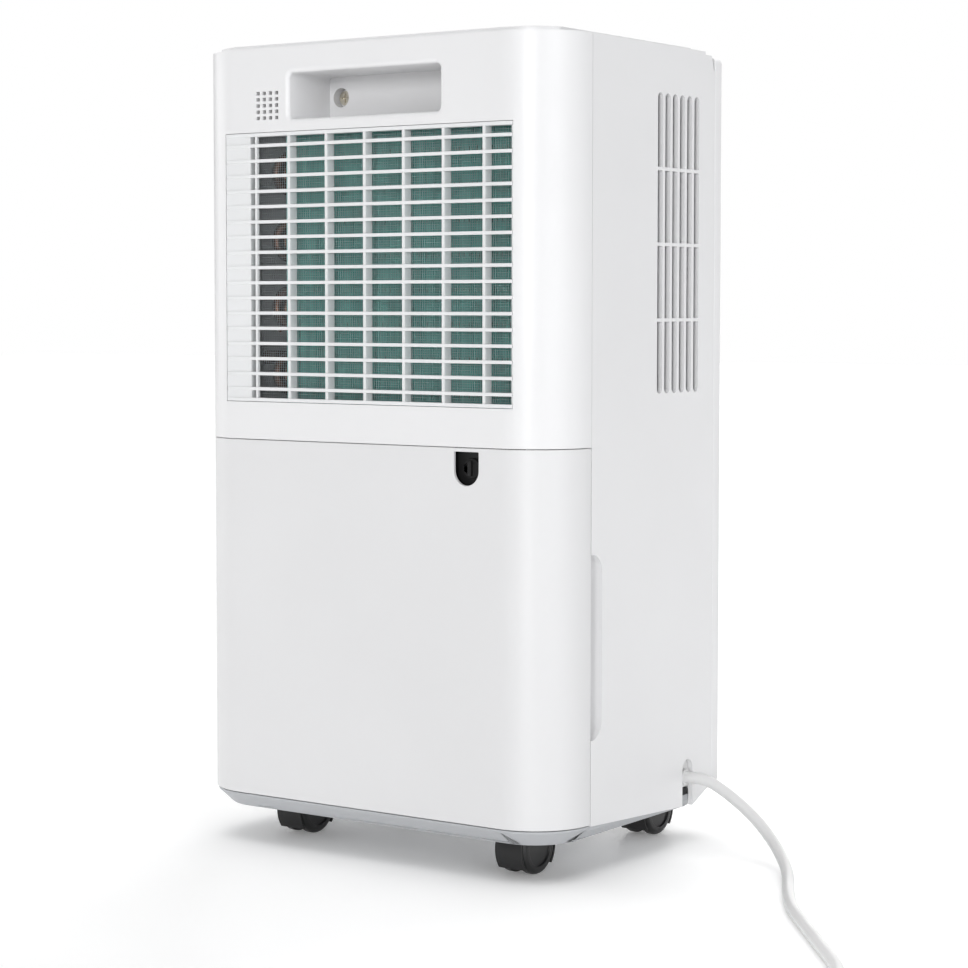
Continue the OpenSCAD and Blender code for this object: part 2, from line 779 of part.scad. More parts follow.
module tank_lid() color("whitesmoke") {
  difference() {
    translate([0, 0, vessel_top]) linear_extrude(2.4) difference() {
      tank_plan(tank_wall + 0.4);
      translate([drip.x, drip.y]) circle(r = 15);
      translate([20, 52]) round_rect(60, 40, 8);
    }
  }
  // collar that guides the drips into the tank
  translate([drip.x, drip.y, vessel_top - 8]) difference() {
    cylinder(h = 9, r = 17);
    translate([0, 0, -1]) cylinder(h = 12, r = 15);
  }
}

module tank_float() color("ivory") {
  difference() {
    union() {
      bar_x(float_y, float_z, float_x - 10, float_x + 10, 4);
      box([float_x - 4, float_y, float_z - 3], [float_x + 4, float_y + 22, float_z + 1]);
      box([float_x - 16, float_y + 18, float_z - 28], [float_x + 16, float_y + 52, float_z - 1]);
    }
    bar_x(float_y, float_z, float_x - 12, float_x + 12, pin_r + fit);
  }
}

module float_pin() color("silver")
  bar_x(float_y, float_z, float_x - 14, float_x + 14, pin_r);

module float_switch() color("dimgray") {
  box([float_x - 14, 2, float_z - 18], [float_x + 14, 10, float_z + 18]);
}

// ---------- small parts ----------

module humidity_sensor() color("black") {
  box([62, 84, 446], [84, 85.6, 469]);
  box([68, 85.5, 453], [78, 89, 463]);
}

module handle_screw() color("silver") {
  seat_y = handle_back_y - 7;
  difference() {
    union() {
      bar_y(screw_x, screw_z, seat_y, seat_y + 3, 4.4);
      bar_y(screw_x, screw_z, seat_y - 18, seat_y + 0.5, 2);
    }
    for (a = [0, 90]) translate([screw_x, seat_y + 3, screw_z]) rotate([0, a, 0])
      cube([5.4, 3, 1.1], center = true);
  }
}

module base_screws() color("silver") {
  for (p = BASE_SCREWS) translate([p.x, p.y, base_z]) {
    translate([0, 0, -1.8]) cylinder(h = 1.8, r = 3.6);
    cylinder(h = 10, r = 2);
  }
}

// ---------- casters, drawn with the swivel axis at the origin ----------

module caster_hood() {
  outer = wheel_r + hood_gap + hood_t;
  difference() {
    union() {
      // curved guard over the wheels
      across(-hood_w / 2, hood_w / 2) translate([trail, wheel_r]) difference() {
        circle(r = outer, $fn = 64);
        circle(r = wheel_r + hood_gap, $fn = 64);
        polygon([[0, 0], [60, -50], [60, -90], [-60, -90], [-60, -50]]);
      }
      // web between the wheels
      across(-boss_r, boss_r) difference() {
        union() {
          translate([trail, wheel_r]) circle(r = outer - 0.5, $fn = 64);
          translate([-boss_r, wheel_r - 4]) square([2 * boss_r, 4 + outer]);
        }
        translate([-40, -10]) square([80, 16]);
      }
      translate([0, 0, wheel_r]) cylinder(h = outer, r = boss_r);
      translate([0, 0, wheel_r]) cylinder(h = tank_floor_z - 2 - wheel_r, r = stem_r);
    }
    bar_x(trail, wheel_r, -8, 8, axle_r + fit);
  }
}

module caster_wheels() {
  for (side = [-1, 1])
    translate([side * wheel_gap / 2, trail, wheel_r]) rotate([0, side * 90, 0]) difference() {
      rotate_extrude($fn = 64) {
        square([wheel_r - 3, wheel_t]);
        square([wheel_r, wheel_t - 3]);
        translate([wheel_r - 3, wheel_t - 3]) circle(r = 3, $fn = 32);
      }
      translate([0, 0, -1]) cylinder(h = wheel_t - 1, r = axle_r);
      // shallow dish in the outer face
      translate([0, 0, wheel_t - 1]) cylinder(h = 2, r = wheel_r - 5);
    }
}

module caster_axle() {
  reach = wheel_gap / 2 + wheel_t - 2.5;
  bar_x(trail, wheel_r, -reach, reach, axle_r);
}

module at_caster(i)
  translate([CASTERS[i - 1].x, CASTERS[i - 1].y, 0]) rotate(CASTERS[i - 1][2]) children();

module caster_hood_1() color("black") at_caster(1) caster_hood();
module caster_hood_2() color("black") at_caster(2) caster_hood();
module caster_hood_3() color("black") at_caster(3) caster_hood();
module caster_hood_4() color("black") at_caster(4) caster_hood();
module caster_wheels_1() color("black") at_caster(1) caster_wheels();
module caster_wheels_2() color("black") at_caster(2) caster_wheels();
module caster_wheels_3() color("black") at_caster(3) caster_wheels();
module caster_wheels_4() color("black") at_caster(4) caster_wheels();
module caster_axle_1() color("silver") at_caster(1) caster_axle();
module caster_axle_2() color("silver") at_caster(2) caster_axle();
module caster_axle_3() color("silver") at_caster(3) caster_axle();
module caster_axle_4() color("silver") at_caster(4) caster_axle();

// ---------- mains lead ----------

module cord_bush() color("white") {
  // nose in the outlet, arched plate behind the wall and a tapered sleeve inside
  bar_x(cord_y, cord_z, bush_face_x, -half_w + wall + 1, 5);
  across(-half_w + wall + 0.2, -half_w + wall + 3) {
    translate([slot_y - bush_plate_r, bush_plate_z0])
      square([2 * bush_plate_r, slot_top - slot_r - bush_plate_z0]);
    translate([slot_y, slot_top - slot_r]) circle(r = bush_plate_r);
  }
  translate([-half_w + wall - eps, cord_y, cord_z]) rotate([0, 90, 0])
    cylinder(h = 30, r1 = 5, r2 = 3.8);
}

module cord_clip() color("black")
  box([-half_w + wall + 0.2, slot_y - 5.5, 31.2], [-half_w + wall + 5, slot_y + 5.5, 35.3]);

module power_cord() color("white") {
  tube(CORD, cord_r, 10, [0, 0, 1]);
  tube(TAIL, cord_r, 10, [0, 0, 1]);
}

module cord_coil() color("white")
  translate([coil_c.x, coil_c.y, 0.1]) rotate_extrude($fn = 96)
    translate([coil_in, 0]) square([coil_out - coil_in, coil_h]);

module plug_body() color("white") {
  translate([tail_x, plug_back_y - plug_len / 2, plug_z - plug_t / 2]) linear_extrude(plug_t)
    round_rect(plug_w, plug_len, 6);
}

module plug_pins() color("silver")
  for (side = [-1, 1])
    bar_y(tail_x + side * pin_gap / 2, plug_z, plug_back_y - plug_len - pin_len,
          plug_back_y - plug_len, plug_pin_r);

base_tray();
front_housing();
front_panel();
rear_cover();
top_cover();
inner_chassis();
display_window();
power_button();
mode_button();
fan_button();
humidity_button();
timer_button();
control_board();
filter_frame();
filter_mesh();
evaporator_fins();
evaporator_tubes();
condenser_fins();
condenser_tubes();
fan_orifice();
fan_wheel();
fan_shaft();
fan_motor();
motor_bracket();
compressor();
compressor_feet();
compressor_bolts();
terminal_cover();
accumulator();
refrigerant_pipes();
capillary_tube();
capacitor();
drip_tray();
drain_plug();
tank();
tank_lid();
tank_float();
float_pin();
float_switch();
humidity_sensor();
handle_screw();
base_screws();
caster_hood_1();
caster_hood_2();
caster_hood_3();
caster_hood_4();
caster_wheels_1();
caster_wheels_2();
caster_wheels_3();
caster_wheels_4();
caster_axle_1();
caster_axle_2();
caster_axle_3();
caster_axle_4();
cord_bush();
cord_clip();
power_cord();
cord_coil();
plug_body();
plug_pins();
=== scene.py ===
"""Looks of a compact dehumidifier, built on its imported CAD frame."""
import math
import random

import bmesh
import bpy
from mathutils import Matrix, Vector


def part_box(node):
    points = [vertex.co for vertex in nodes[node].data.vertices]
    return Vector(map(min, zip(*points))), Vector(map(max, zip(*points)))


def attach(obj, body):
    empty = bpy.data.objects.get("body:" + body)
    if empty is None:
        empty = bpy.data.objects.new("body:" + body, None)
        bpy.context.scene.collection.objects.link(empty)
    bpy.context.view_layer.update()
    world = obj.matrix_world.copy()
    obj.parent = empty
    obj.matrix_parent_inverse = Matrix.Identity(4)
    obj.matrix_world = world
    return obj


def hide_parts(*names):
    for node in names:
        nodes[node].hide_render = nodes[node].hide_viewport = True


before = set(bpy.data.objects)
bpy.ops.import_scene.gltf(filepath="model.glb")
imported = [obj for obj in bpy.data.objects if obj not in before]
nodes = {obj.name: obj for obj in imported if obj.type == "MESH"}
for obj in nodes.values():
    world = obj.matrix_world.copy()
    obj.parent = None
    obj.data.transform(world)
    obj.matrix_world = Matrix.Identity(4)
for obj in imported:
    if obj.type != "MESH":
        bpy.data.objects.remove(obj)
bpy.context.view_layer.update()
scene = bpy.context.scene
MM = 0.001
CORNER = math.radians(32)       # an edge that turns more than this is a corner
FLAT = math.radians(0.6)        # faces that turn less than this are one flat face


# ---------- camera ----------

def make_camera():
    """The photograph's viewpoint, solved from the straight edges of the cabinet."""
    data = bpy.data.cameras.new("camera")
    camera = bpy.data.objects.new("camera", data)
    scene.collection.objects.link(camera)
    data.sensor_width = 36.0
    data.lens = 93.40
    data.shift_x = -0.01823
    data.shift_y = -0.02541
    data.clip_start = 0.05
    data.clip_end = 50.0
    look = Vector((0.5664, -0.8220, -0.0604)).normalized()
    roll = Matrix.Rotation(math.radians(-0.056), 3, look)
    turn = roll @ look.to_track_quat("-Z", "Y").to_matrix()
    camera.matrix_world = Matrix.Translation((-0.9209, 1.2849, 0.3345)) @ turn.to_4x4()
    scene.camera = camera


make_camera()


# ---------- node materials ----------

def linear(rgb):
    """Linear colour from 0-255 display values."""
    out = []
    for value in rgb:
        c = value / 255
        out.append(c / 12.92 if c <= 0.04045 else ((c + 0.055) / 1.055) ** 2.4)
    return (*out, 1.0)


class Kit:
    """A material under construction, with its principled shader."""

    def __init__(self, name, **sockets):
        self.mat = bpy.data.materials.new(name)
        self.mat.use_nodes = True
        self.tree = self.mat.node_tree
        self.shader = self.tree.nodes["Principled BSDF"]
        for key, value in sockets.items():
            self.shader.inputs[key.replace("_", " ")].default_value = value
        self.coords = self.add("ShaderNodeTexCoord").outputs["Object"]

    def add(self, kind, **settings):
        node = self.tree.nodes.new(kind)
        for key, value in settings.items():
            setattr(node, key, value)
        return node

    def link(self, a, b):
        self.tree.links.new(a, b)

    def stretched(self, scale):
        node = self.add("ShaderNodeMapping")
        node.inputs["Scale"].default_value = scale
        self.link(self.coords, node.inputs["Vector"])
        return node.outputs["Vector"]

    def noise(self, scale, detail=2.0, rough=0.5, stretch=None):
        node = self.add("ShaderNodeTexNoise")
        node.inputs["Scale"].default_value = scale
        node.inputs["Detail"].default_value = detail
        node.inputs["Roughness"].default_value = rough
        self.link(self.stretched(stretch) if stretch else self.coords, node.inputs["Vector"])
        return node.outputs["Fac"]

    def cells(self, scale):
        node = self.add("ShaderNodeTexVoronoi")
        node.inputs["Scale"].default_value = scale
        self.link(self.coords, node.inputs["Vector"])
        return node.outputs["Distance"]

    def ramp(self, value, low, high, to_low=0.0, to_high=1.0):
        node = self.add("ShaderNodeMapRange")
        node.inputs["From Min"].default_value = low
        node.inputs["From Max"].default_value = high
        node.inputs["To Min"].default_value = to_low
        node.inputs["To Max"].default_value = to_high
        self.link(value, node.inputs["Value"])
        return node.outputs["Result"]

    def mix(self, factor, a, b):
        node = self.add("ShaderNodeMix", data_type="RGBA")
        for socket, value in ((node.inputs[6], a), (node.inputs[7], b)):
            if isinstance(value, tuple):
                socket.default_value = value
            else:
                self.link(value, socket)
        self.link(factor, node.inputs["Factor"])
        return node.outputs[2]

    def bump(self, height, distance, strength=1.0, before=None):
        node = self.add("ShaderNodeBump")
        node.inputs["Strength"].default_value = strength
        node.inputs["Distance"].default_value = distance
        self.link(height, node.inputs["Height"])
        if before is not None:
            self.link(before, node.inputs["Normal"])
        return node.outputs["Normal"]

    def finish(self, colour=None, rough=None, normal=None):
        for value, socket in ((colour, "Base Color"), (rough, "Roughness"), (normal, "Normal")):
            if value is not None:
                self.link(value, self.shader.inputs[socket])
        return self.mat


def shade(rgb, amount):
    """The same colour a little lighter or darker, in display values."""
    return linear([max(0, min(255, c * amount)) for c in rgb])


def moulded(name, rgb, rough, grain=1600, height=0.00002, uneven=0.02, scuffs=0.0, **sockets):
    """Moulded plastic: fine tool grain, slight unevenness in tone and gloss, faint scuffs."""
    kit = Kit(name, **sockets)
    tone = kit.noise(9, 3)
    specks = kit.noise(420, 2)
    base = kit.mix(kit.ramp(tone, 0.3, 0.7), shade(rgb, 1 - uneven), shade(rgb, 1 + uneven))
    base = kit.mix(kit.ramp(specks, 0.68, 0.8, 0, 0.35), base, shade(rgb, 1 - 2 * uneven))
    gloss = kit.ramp(kit.noise(38, 4, 0.6), 0.25, 0.75, rough - 0.06, rough + 0.07)
    if scuffs:
        lines = kit.noise(60, 3, 0.6, stretch=(14, 1, 1.4))
        worn = kit.ramp(lines, 0.66, 0.74, 0, scuffs)
        base = kit.mix(worn, base, shade(rgb, 1.12))
    fine = kit.noise(grain, 2, 0.6)
    wave = kit.noise(24, 1)
    normal = kit.bump(fine, height, 0.5)
    normal = kit.bump(wave, 0.0004, 0.12, normal)
    return kit.finish(base, gloss, normal)


def metal(name, rgb, rough, stretch, uneven=0.12):
    """Metal with drawing or turning marks along one direction and dull patches."""
    kit = Kit(name, Metallic=1.0)
    patches = kit.noise(70, 4, 0.6)
    base = kit.mix(kit.ramp(patches, 0.3, 0.7), shade(rgb, 1 - uneven), shade(rgb, 1 + uneven / 2))
    gloss = kit.ramp(patches, 0.3, 0.75, rough - 0.08, rough + 0.12)
    marks = kit.noise(900, 3, 0.6, stretch=stretch)
    return kit.finish(base, gloss, kit.bump(marks, 0.00003, 0.5))


def make_materials():
    m = {}
    m["shell_white"] = moulded("shell_white", (224, 224, 225), 0.36, uneven=0.006)
    m["tank_white"] = moulded("tank_white", (216, 216, 217), 0.36, uneven=0.006)
    m["grille_white"] = moulded("grille_white", (222, 223, 224), 0.40, uneven=0.01)
    m["inner_plastic"] = moulded("inner_plastic", (214, 216, 219), 0.5, grain=1100, uneven=0.02)
    m["base_grey"] = moulded("base_grey", (176, 178, 181), 0.5, grain=1100, height=0.00004,
                             uneven=0.02)
    m["black_plastic"] = moulded("black_plastic", (19, 19, 20), 0.55, grain=900, height=0.00008,
                                 uneven=0.1, scuffs=0.25)
    m["wheel_black"] = moulded("wheel_black", (16, 16, 17), 0.38, uneven=0.1, scuffs=0.5)
    m["black_rubber"] = moulded("black_rubber", (18, 18, 19), 0.72, grain=700, height=0.00006,
                                uneven=0.12)
    m["window_black"] = moulded("window_black", (12, 13, 16), 0.14, height=0.000003, uneven=0.1,
                                Coat_Weight=0.6, Coat_Roughness=0.05)
    m["button_grey"] = moulded("button_grey", (198, 201, 205), 0.42, uneven=0.015)
    m["float_foam"] = foam("float_foam", (232, 232, 228))
    m["cord_white"] = moulded("cord_white", (215, 215, 215), 0.40, grain=1300, uneven=0.012)
    m["capacitor_white"] = moulded("capacitor_white", (205, 207, 208), 0.42, uneven=0.03)
    m["filter_net"] = moulded("filter_net", (176, 182, 184), 0.5, uneven=0.05)
    m["board_green"] = board("board_green")
    m["fin_teal"] = fin_metal("fin_teal", (170, 240, 232), (132, 212, 206))
    m["fin_bare"] = fin_metal("fin_bare", (186, 190, 192), (150, 155, 158))
    m["copper"] = copper("copper")
    m["steel"] = metal("steel", (196, 190, 176), 0.32, stretch=(1, 1, 6))
    m["pin_metal"] = metal("pin_metal", (206, 207, 208), 0.24, stretch=(8, 1, 8), uneven=0.06)
    m["motor_steel"] = metal("motor_steel", (172, 175, 178), 0.40, stretch=(1, 6, 1))
    m["compressor_black"] = painted("compressor_black", (28, 29, 31))
    return m


def foam(name, rgb):
    """Closed-cell foam: small round cells and a dull surface."""
    kit = Kit(name)
    cells = kit.cells(650)
    tone = kit.mix(kit.ramp(cells, 0.0, 0.6), shade(rgb, 0.9), shade(rgb, 1.0))
    return kit.finish(tone, kit.ramp(cells, 0, 0.7, 0.85, 0.7), kit.bump(cells, 0.0002, 0.6))


def board(name):
    """Lacquered circuit board with traces under the lacquer."""
    kit = Kit(name, Coat_Weight=0.4, Coat_Roughness=0.2)
    traces = kit.noise(260, 0, 0.5, stretch=(1, 5, 1))
    tone = kit.mix(kit.ramp(traces, 0.5, 0.53), linear((18, 74, 42)), linear((34, 108, 62)))
    return kit.finish(tone, kit.ramp(traces, 0.4, 0.6, 0.35, 0.5), kit.bump(traces, 0.00004, 0.6))


def fin_metal(name, light, dark):
    """Thin coated aluminium sheet: streaks of coating, patches of dust, fine ripples."""
    kit = Kit(name, Metallic=0.35)
    streaks = kit.noise(90, 4, 0.6, stretch=(3, 1, 0.25))
    dust = kit.noise(34, 5, 0.65)
    tone = kit.mix(kit.ramp(streaks, 0.3, 0.7), linear(dark), linear(light))
    tone = kit.mix(kit.ramp(dust, 0.56, 0.74, 0, 0.4), tone, linear((150, 154, 146)))
    rough = kit.ramp(dust, 0.3, 0.7, 0.38, 0.62)
    return kit.finish(tone, rough, kit.bump(kit.noise(1400, 2), 0.00003, 0.5))


def copper(name):
    """Drawn copper, blotched by heat and handling; its whole tone is painted darker, as painted
    shade for bends that sit in shadow.
    """
    kit = Kit(name, Metallic=1.0)
    blotch = kit.noise(55, 5, 0.62)
    # both tones are darker than bright copper: painted shade for bends that sit in shadow; the
    # blotch noise between them is random
    tone = kit.mix(kit.ramp(blotch, 0.3, 0.7), linear((118, 90, 78)), linear((92, 70, 60)))
    tone = kit.mix(kit.ramp(kit.noise(140, 3), 0.62, 0.75, 0, 0.6), tone, linear((96, 62, 52)))
    rough = kit.ramp(blotch, 0.3, 0.7, 0.26, 0.46)
    return kit.finish(tone, rough, kit.bump(kit.noise(700, 2), 0.00003, 0.5))


def painted(name, rgb):
    """Thick sprayed enamel on pressed steel, with orange peel."""
    kit = Kit(name, Coat_Weight=0.3, Coat_Roughness=0.25)
    peel = kit.noise(300, 2, 0.5)
    tone = kit.mix(kit.ramp(kit.noise(20, 4), 0.3, 0.7), shade(rgb, 0.85), shade(rgb, 1.25))
    return kit.finish(tone, kit.ramp(peel, 0.3, 0.7, 0.3, 0.45), kit.bump(peel, 0.0001, 0.5))


MATERIALS = make_materials()


# ---------- pieces ----------

def piece(name, mesh, slot, body, *replaced):
    """A new mesh object with its material, its slot and the body that it rides on."""
    obj = bpy.data.objects.new(name, mesh)
    scene.collection.objects.link(obj)
    mesh.materials.append(MATERIALS[slot])
    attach(obj, body)
    if replaced:
        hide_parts(*replaced)
    return obj


def mesh_from(name, points, faces, smooth=True):
    mesh = bpy.data.meshes.new(name)
    mesh.from_pydata([tuple(p) for p in points], [], faces)
    mesh.update()
    for polygon in mesh.polygons:
        polygon.use_smooth = smooth
    return mesh


def around(count):
    """Angles at equal steps round a full turn."""
    return [2 * math.pi * k / count for k in range(count)]


def squarish(middle, half, power, count):
    """Points of a closed loop: an ellipse at power 2, and squarer above it."""
    points = []
    for a in around(count):
        c, s = math.cos(a), math.sin(a)
        points.append((middle[0] + math.copysign(abs(c) ** (2 / power), c) * half[0],
                       middle[1] + math.copysign(abs(s) ** (2 / power), s) * half[1]))
    return points


class Shape:
    """Points and faces gathered from simple closed parts."""

    def __init__(self):
        self.points = []
        self.faces = []

    def add(self, points, faces):
        """More points, and faces that count from the first of them."""
        start = len(self.points)
        self.points += [Vector(p) for p in points]
        self.faces += [tuple(start + i for i in face) for face in faces]

    def block(self, low, high):
        """A box between two corners in millimetres."""
        xs, ys, zs = zip(low * MM, high * MM)
        self.add([(x, y, z) for z in zs for y in ys for x in xs],
                 [(0, 2, 3, 1), (4, 5, 7, 6), (0, 1, 5, 4), (2, 6, 7, 3), (0, 4, 6, 2),
                  (1, 3, 7, 5)])

    def tube(self, path, radius):
        """A round tube along a path in millimetres, of one radius or one at each point."""
        self.loft([[p * MM for p in ring] for ring in swept(path, radius)])

    def loft(self, rings):
        """Closed skin through rings of equal count, capped at both ends."""
        count = len(rings[0])
        faces = []
        for i in range(len(rings) - 1):
            for k in range(count):
                a, b = i * count + k, i * count + (k + 1) % count
                faces.append((a, b, b + count, a + count))
        faces.append(tuple(range(count - 1, -1, -1)))
        last = (len(rings) - 1) * count
        faces.append(tuple(last + k for k in range(count)))
        self.add([p for ring in rings for p in ring], faces)

    def mesh(self, name, smooth=True):
        mesh = mesh_from(name, self.points, self.faces, smooth)
        work = bmesh.new()
        work.from_mesh(mesh)
        bmesh.ops.recalc_face_normals(work, faces=work.faces)
        work.to_mesh(mesh)
        work.free()
        return mesh


def swept(path, radius):
    """Rings of a round tube along a path, turned as little as possible."""
    rings, side = [], None
    for i, p in enumerate(path):
        ahead = (path[min(i + 1, len(path) - 1)] - path[max(i - 1, 0)]).normalized()
        if side is None:
            side = ahead.orthogonal().normalized()
        side = (side - ahead * side.dot(ahead)).normalized()
        other = ahead.cross(side)
        r = radius[i] if isinstance(radius, list) else radius
        rings.append([p + r * (math.cos(a) * side + math.sin(a) * other) for a in around(14)])
    return rings


# ---------- mains lead ----------

CORD_D = 7.0
ROUTE = [(-136, -57.5, 42.5), (-142, -57.5, 42.5), (-148, -57.5, 42.2), (-154, -57.2, 40.8),
         (-160.5, -56.5, 38.2), (-167, -55.3, 35.4), (-173, -53.8, 32.6), (-179, -52, 29.8),
         (-185, -49.9, 26.8), (-191, -47.6, 23.5), (-196.5, -44.9, 20.4), (-202, -41.5, 17.4),
         (-207.5, -37.4, 14.6), (-213, -32.6, 12), (-218.5, -27, 9.6), (-224, -20.6, 7.6),
         (-229.5, -13.4, 5.9), (-235, -5.2, 4.7), (-241, 5, 3.9), (-248, 18, 3.6),
         (-256, 32.8, 3.6), (-265, 48.2, 3.6), (-275, 64, 3.6), (-286, 79, 3.6), (-298, 94, 3.6),
         (-310, 109, 3.6), (-322, 124, 3.6), (-334, 139, 3.6), (-346, 154, 3.6), (-357, 170, 3.6),
         (-366, 187, 3.6), (-372, 205, 3.6), (-374.5, 223, 3.6), (-374.5, 241, 3.6)]
TAIL = [(-465.5, 244, 9.8), (-465.5, 236, 8.8), (-465.5, 228, 7.8), (-465.5, 220, 7.4)]
COIL = (-420.0, 262.0)
TURNS = 5.5
PER_TURN = 18
# turn count, radius and height of the winding: two layers, passing over halfway round
WINDING = [(0.0, 45.5, 3.6), (0.5, 45.5, 3.6), (1.0, 38.5, 3.6), (1.5, 38.5, 3.6),
           (2.0, 31.5, 3.6), (2.5, 31.5, 3.6), (2.75, 29.5, 7.1), (3.0, 31.5, 10.6),
           (3.5, 31.5, 10.6), (4.0, 38.5, 10.6), (4.5, 38.5, 10.6), (5.0, 45.5, 10.6),
           (5.5, 45.5, 10.6)]


def winding(turn):
    """Radius and height of the coil after that many turns."""
    for (t0, r0, z0), (t1, r1, z1) in zip(WINDING, WINDING[1:]):
        if turn <= t1:
            s = (turn - t0) / (t1 - t0)
            s = s * s * (3 - 2 * s)
            return r0 + (r1 - r0) * s, z0 + (z1 - z0) * s
    return WINDING[-1][1:]


def coil_points():
    """The whole winding, as points in millimetres."""
    points = []
    for i in range(int(TURNS * PER_TURN) + 1):
        turn = i / PER_TURN
        radius, height = winding(turn)
        angle = 2 * math.pi * turn
        points.append((COIL[0] + radius * math.cos(angle), COIL[1] + radius * math.sin(angle),
                       height))
    return points


def make_cord():
    """The lead in one curve, from its outlet through the coil to the plug."""
    points = [Vector(p) * MM for p in ROUTE + coil_points() + TAIL]
    curve = bpy.data.curves.new("mains_lead", "CURVE")
    curve.dimensions = "3D"
    curve.bevel_depth = CORD_D / 2 * MM
    curve.bevel_resolution = 5
    curve.resolution_u = 4
    curve.use_fill_caps = True
    spline = curve.splines.new("BEZIER")
    spline.bezier_points.add(len(points) - 1)
    for bezier, point in zip(spline.bezier_points, points):
        bezier.co = point
        bezier.handle_left_type = "AUTO"
        bezier.handle_right_type = "AUTO"
    lead = bpy.data.objects.new("mains_lead", curve)
    scene.collection.objects.link(lead)
    curve.materials.append(MATERIALS["cord_white"])
    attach(lead, "cabinet")
    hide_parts("power_cord", "cord_coil")
    return lead


def make_plug():
    """Moulded two-pin plug: a flat-faced body that narrows into a ribbed sleeve."""
    low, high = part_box("plug_body")
    cx, cz = (low.x + high.x) / 2, (low.z + high.z) / 2
    half_w, half_t = (high.x - low.x) / 2, (high.z - low.z) / 2
    face, back = low.y, high.y
    shape = Shape()
    # distance from the pin face as a share of the length, width and thickness shares, power
    sections = [(0.0, 0.88, 0.84, 5), (0.015, 0.94, 0.94, 5), (0.05, 0.96, 0.98, 5),
                (0.2, 0.98, 1.0, 4.6), (0.34, 1.0, 1.0, 4.2), (0.46, 0.97, 0.98, 3.6),
                (0.56, 0.84, 0.94, 3.0), (0.64, 0.66, 0.88, 2.6), (0.7, 0.5, 0.8, 2.3),
                (0.745, 0.42, 0.76, 2.1)]
    # ribs of the sleeve, which get smaller towards the lead
    for start in (0.76, 0.81, 0.86, 0.91, 0.96):
        width = 0.385 - 0.35 * (start - 0.76)
        depth = 0.72 - 0.6 * (start - 0.76)
        groove = (width - 0.05, depth - 0.09, 2)
        sections += [(start, *groove), (start + 0.012, width, depth, 2),
                     (start + 0.03, width, depth, 2), (start + 0.038, *groove)]
    rings = []
    for along, width, depth, power in sections:
        y = face + (back - face) * along
        loop = squarish((cx, cz), (half_w * width, half_t * depth), power, 40)
        rings.append([(x, y, z) for x, z in loop])
    shape.loft(rings)
    return piece("plug", shape.mesh("plug"), "cord_white", "cabinet", "plug_body")


TIE_ANGLE = math.radians(205)       # place on the coil, counted from +X
TIE_WIDTH, TIE_THICK = 12.0, 0.55
TIE_INNER, TIE_OUTER = 27.3, 49.6    # distances from the coil's middle
TIE_BOTTOM, TIE_TOP = 0.05, 14.3
LAP_T = 0.5


def make_tie():
    """Soft hook-and-loop strap round the bundle of turns, with its end lapped over."""
    radial = Vector((math.cos(TIE_ANGLE), math.sin(TIE_ANGLE), 0))
    along = Vector((-math.sin(TIE_ANGLE), math.cos(TIE_ANGLE), 0))
    up = Vector((0, 0, 1))
    centre = Vector((COIL[0], COIL[1], 0))
    middle = ((TIE_INNER + TIE_OUTER) / 2, (TIE_TOP + TIE_BOTTOM) / 2)
    half = ((TIE_OUTER - TIE_INNER) / 2, (TIE_TOP - TIE_BOTTOM) / 2)
    points = []
    outline = squarish(middle, half, 5.0, 64)
    for r, z in outline:
        inward_r = middle[0] + (r - middle[0]) * (1 - TIE_THICK / half[0])
        inward_z = middle[1] + (z - middle[1]) * (1 - TIE_THICK / half[1])
        # the outer corners are drawn in a little, which softens the edges
        for rr, zz, w in ((r, z, -0.48), (r, z, 0.48), (inward_r, inward_z, 0.5),
                          (inward_r, inward_z, -0.5)):
            points.append((centre + radial * rr + along * (w * TIE_WIDTH) + up * zz) * MM)
    faces = []
    for i in range(len(outline)):
        for k in range(4):
            a, b = i * 4 + k, i * 4 + (k + 1) % 4
            ahead = (i + 1) % len(outline) * 4
            faces.append((a, b, ahead + (k + 1) % 4, ahead + k))
    shape = Shape()
    shape.add(points, faces)
    # the lapped end, lying on top and narrower at its tip
    rings = []
    for i in range(9):
        t = i / 8
        p = centre + radial * (30 + 14 * t) + up * (TIE_TOP + 0.02 + 0.1 * math.sin(math.pi * t))
        w = along * TIE_WIDTH * (0.44 if i < 8 else 0.3)
        rings.append([(p + w) * MM, (p - w) * MM, (p - w - up * LAP_T) * MM,
                      (p + w - up * LAP_T) * MM])
    shape.loft(rings)
    return piece("lead_tie", shape.mesh("lead_tie"), "black_rubber", "cabinet")


lead = make_cord()
plug = make_plug()
tie = make_tie()


# ---------- heat exchangers and filter ----------

FIN_PITCH = 1.8
FIN_T = 0.14
TUBE_R = 3.5
TUBE_ROWS = 8
ROW_PITCH = 20.6
FIRST_ROW = 13.0        # height of the first tube above the foot of the fins
ROW_INSET = 6.0
STUB = 5.0              # straight end between the fins and a return bend


def fin(shape, x, y0, y1, z0, z1, chance):
    """One thin sheet with shallow pleats, its front edge knocked here and there."""
    across, up = 5, 10
    lean = chance.uniform(-0.12, 0.12)
    grid = []
    for j in range(up):
        z = z0 + (z1 - z0) * j / (up - 1)
        knock = chance.gauss(0, 0.09)
        row = []
        for i in range(across):
            t = i / (across - 1)
            pleat = 0.32 * (1 if i % 2 else -1)
            row.append(Vector((x + pleat + lean + knock * t, y0 + (y1 - y0) * t, z)))
        grid.append(row)
    half = Vector((FIN_T / 2, 0, 0))
    points = [(p - half) * MM for row in grid for p in row]
    points += [(p + half) * MM for row in grid for p in row]
    n = across * up
    faces = []
    for j in range(up - 1):
        for i in range(across - 1):
            a = j * across + i
            b = a + across
            faces.append((a, b, b + 1, a + 1))
            faces.append((n + a, n + a + 1, n + b + 1, n + b))
    rim = [(j, 0) for j in range(up)]
    rim += [(up - 1, i) for i in range(1, across)]
    rim += [(j, across - 1) for j in range(up - 2, -1, -1)]
    rim += [(0, i) for i in range(across - 2, 0, -1)]
    loop = [j * across + i for j, i in rim]
    for k, a in enumerate(loop):
        b = loop[(k + 1) % len(loop)]
        faces.append((a, n + a, n + b, b))
    shape.add(points, faces)


